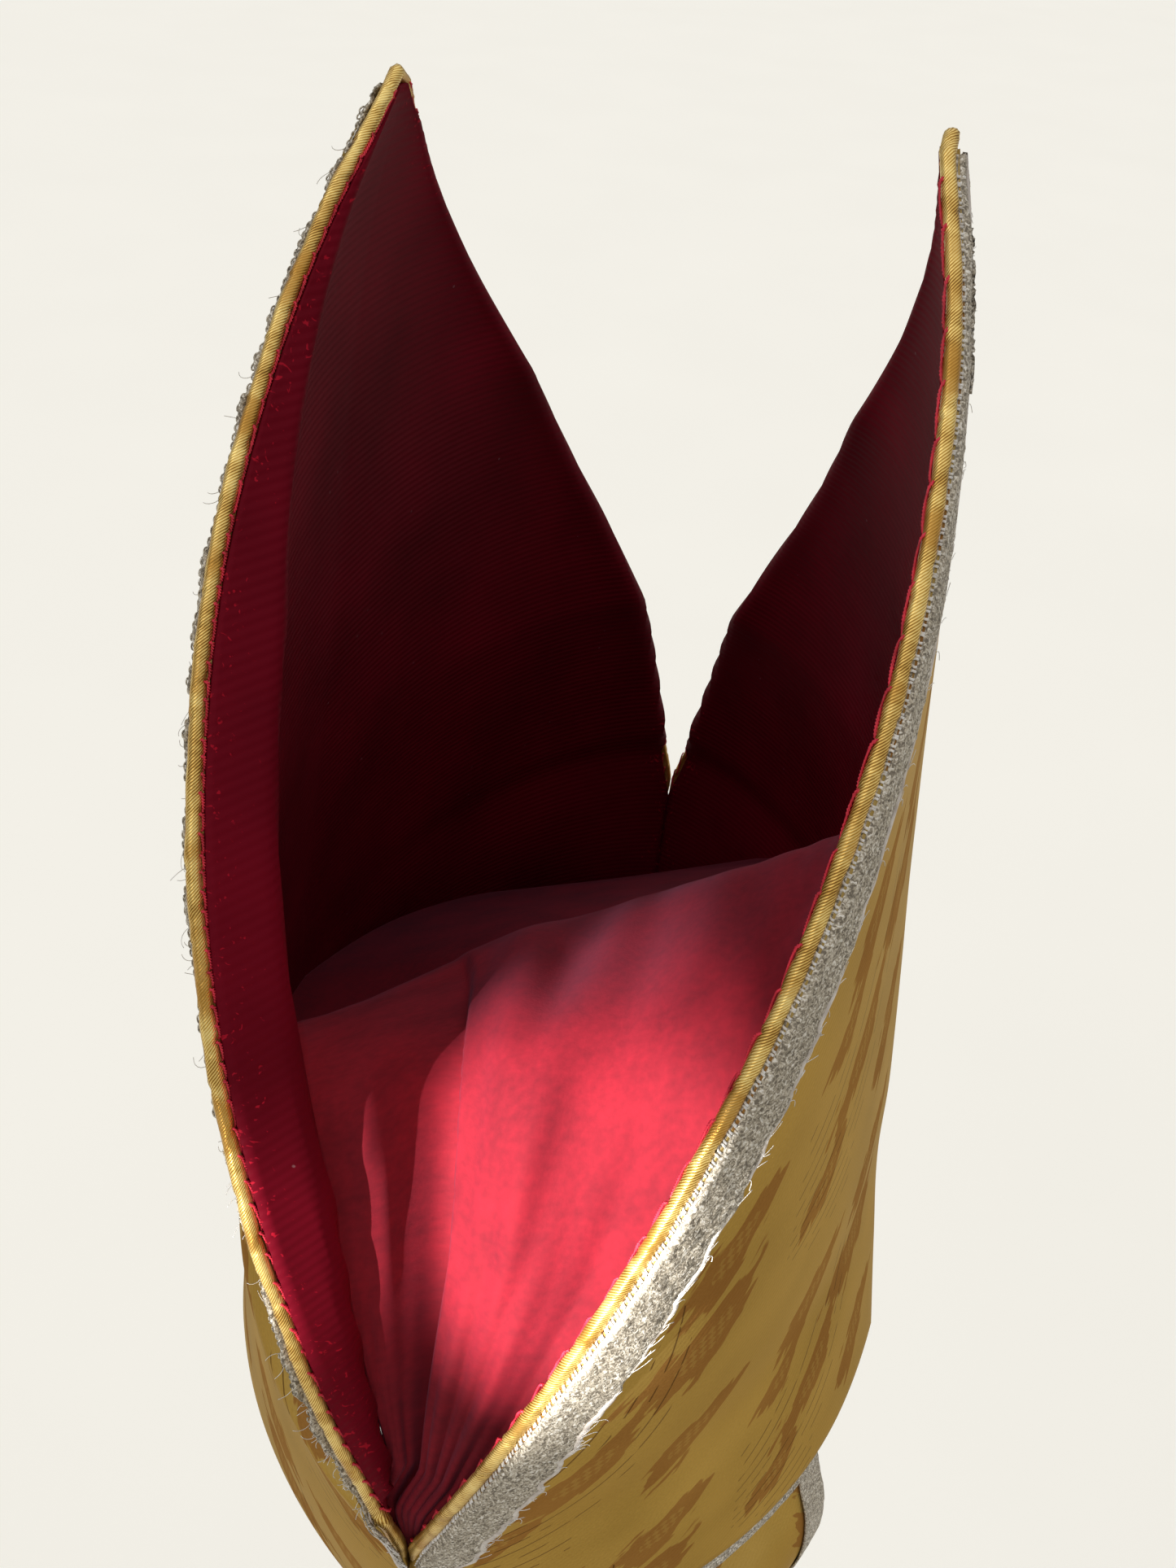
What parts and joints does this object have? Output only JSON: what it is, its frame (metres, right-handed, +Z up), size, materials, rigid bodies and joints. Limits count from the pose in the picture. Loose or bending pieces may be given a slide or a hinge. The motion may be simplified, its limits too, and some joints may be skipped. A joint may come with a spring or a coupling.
{
  "type": "bishop mitre",
  "caption": "Gold damask bishop mitre held open: two pointed cusps with piping and silver braid, red gusset, burgundy lining and lappets.",
  "frame": {"origin": "middle of the head opening at the rim, where it sits on the head", "axes": "+Z up to the tips, +Y to the back where the lappets hang, +X to one side seam"},
  "size_m": [0.2486, 0.1756, 0.6293],
  "materials": {
    "gold_damask": "damask weave, satin and matt",
    "burgundy_twill": "fine ribbed lining twill",
    "red_cotton": "matt plain weave",
    "gold_satin_cord": "satin-covered cord",
    "silver_braid": "metallic thread braid"
  },
  "bodies": {
    "root": {"front_panel": "gold_damask", "back_panel": "gold_damask", "front_lining": "burgundy_twill", "back_lining": "burgundy_twill", "gusset": "red_cotton", "front_piping": "gold_satin_cord", "back_piping": "gold_satin_cord", "front_braid": "silver_braid", "back_braid": "silver_braid", "lappet_near": "gold_damask", "lappet_far": "gold_damask", "lappet_near_braid": "silver_braid", "lappet_far_braid": "silver_braid"}
  },
  "joints": []
}
